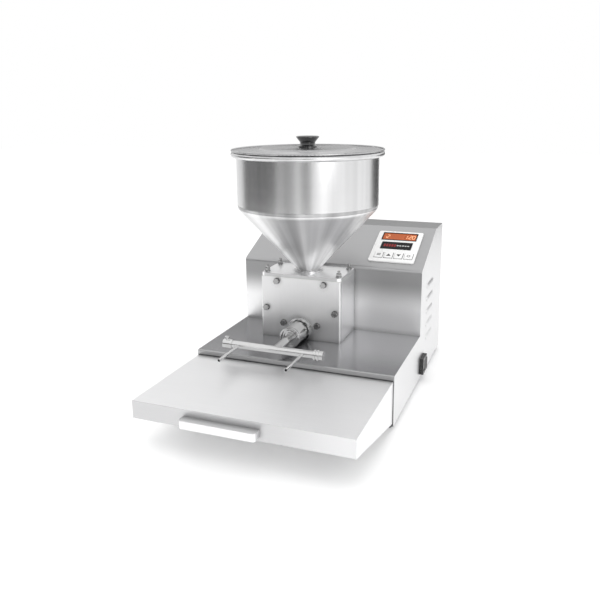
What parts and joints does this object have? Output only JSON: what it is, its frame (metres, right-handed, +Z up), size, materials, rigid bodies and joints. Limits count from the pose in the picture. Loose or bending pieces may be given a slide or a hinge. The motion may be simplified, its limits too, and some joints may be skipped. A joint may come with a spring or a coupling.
{
  "type": "filling machine",
  "caption": "Bench-top bakery filling machine: steel hopper over a gear pump, twin needles on a manifold, pull-out tray, sloped control panel and side power switch.",
  "frame": {"origin": "on the surface it stands on, under the middle of the whole machine's footprint with the tray pulled out", "axes": "+X to the operator's right, +Y from the operator towards the back, +Z up"},
  "size_m": [0.3694, 0.633, 0.4668],
  "materials": {
    "steel_satin": "satin",
    "steel_bright": "polished",
    "steel_machined": "machined, satin",
    "steel_zinc": "zinc plated",
    "aluminium_cast": "cast, matte",
    "motor_paint": "satin",
    "bronze": "machined",
    "rubber_black": "matte",
    "elastomer_red": "matte",
    "gasket_white": "matte",
    "plastic_white": "semi-gloss",
    "plastic_black": "semi-gloss",
    "display_orange": "gloss",
    "board_green": "matte",
    "case_grey": "satin"
  },
  "bodies": {
    "machine": {"housing": "steel_satin", "bottom_plate": "steel_zinc", "rear_cover": "steel_satin", "pan_screws": "steel_bright", "feet": "rubber_black", "bay_partition": "steel_zinc", "rail_brackets": "steel_zinc", "outer_rails": "steel_zinc", "pump_body": "steel_machined", "pump_gasket": "gasket_white", "pump_cover": "steel_satin", "hex_bolts": "steel_bright", "pump_mount_plate": "steel_zinc", "shaft_bushes": "bronze", "shaft_seal": "rubber_black", "hopper_gasket": "gasket_white", "hopper_plate": "steel_satin", "top_studs": "steel_bright", "top_nuts": "steel_bright", "hopper_bowl": "steel_satin", "hopper_cone": "steel_satin", "hopper_neck": "steel_satin", "outlet_fitting": "steel_satin", "union_nut": "steel_bright", "outlet_pipe": "steel_bright", "manifold_tube": "steel_bright", "manifold_caps": "steel_bright", "thumb_screw": "steel_bright", "needles": "steel_bright", "motor_standoffs": "steel_zinc", "motor_plate": "steel_zinc", "gearbox": "aluminium_cast", "drive_motor": "motor_paint", "control_panel": "plastic_white", "lcd_frame": "plastic_black", "lcd_module": "display_orange", "indicator_strip": "plastic_black", "control_board": "board_green", "key_switches": "plastic_black", "power_supply": "case_grey", "power_inlet": "plastic_black", "switch_body": "plastic_black"},
    "tray": {"tray": "steel_satin", "tray_handle": "steel_satin", "inner_rails": "steel_zinc"},
    "slide_middle": {"middle_rails": "steel_zinc"},
    "lid": {"lid": "steel_satin", "lid_knob": "plastic_black"},
    "rocker": {"switch_rocker": "plastic_black"},
    "key_1_body": {"key_1": "plastic_white"},
    "key_2_body": {"key_2": "plastic_white"},
    "key_3_body": {"key_3": "plastic_white"},
    "key_4_body": {"key_4": "plastic_white"},
    "drive": {"drive_gear": "steel_bright", "drive_shaft": "steel_bright", "coupling_hubs": "aluminium_cast", "coupling_spider": "elastomer_red", "output_shaft": "steel_bright"},
    "driven": {"driven_gear": "steel_bright", "driven_shaft": "steel_bright"}
  },
  "joints": [
    {"name": "tray_slide", "type": "slide", "parent": "machine", "child": "tray", "axis": [0, 1, 0], "range_m": [0, 0.2]},
    {"name": "middle_slide", "type": "slide", "parent": "machine", "child": "slide_middle", "axis": [0, 1, 0], "range_m": [0, 0.1]},
    {"name": "lid_lift", "type": "slide", "parent": "machine", "child": "lid", "axis": [0, 0, 1], "range_m": [0, 0.12]},
    {"name": "rocker_tilt", "type": "hinge", "parent": "machine", "child": "rocker", "pos_m": [0.17772, 0.128, 0.033], "axis": [0, 0, 1], "range_deg": [0, 16]},
    {"name": "key_1_press", "type": "slide", "parent": "machine", "child": "key_1_body", "axis": [0, 0.3968, -0.9179], "range_m": [0, 0.0008], "stiffness_N_per_m": 300, "springref_m": -0.0005},
    {"name": "key_2_press", "type": "slide", "parent": "machine", "child": "key_2_body", "axis": [0, 0.3968, -0.9179], "range_m": [0, 0.0008], "stiffness_N_per_m": 300, "springref_m": -0.0005},
    {"name": "key_3_press", "type": "slide", "parent": "machine", "child": "key_3_body", "axis": [0, 0.3968, -0.9179], "range_m": [0, 0.0008], "stiffness_N_per_m": 300, "springref_m": -0.0005},
    {"name": "key_4_press", "type": "slide", "parent": "machine", "child": "key_4_body", "axis": [0, 0.3968, -0.9179], "range_m": [0, 0.0008], "stiffness_N_per_m": 300, "springref_m": -0.0005},
    {"name": "drive_spin", "type": "hinge", "parent": "machine", "child": "drive", "pos_m": [-0.01168, 0.0545, 0.1525], "axis": [0, 1, 0], "continuous": true},
    {"name": "driven_spin", "type": "hinge", "parent": "machine", "child": "driven", "pos_m": [-0.05168, 0.0545, 0.1525], "axis": [0, 1, 0], "continuous": true}
  ],
  "couplings": [
    {"joint": "middle_slide", "follows": "tray_slide", "ratio": 0.5},
    {"joint": "driven_spin", "follows": "drive_spin", "ratio": -1}
  ]
}
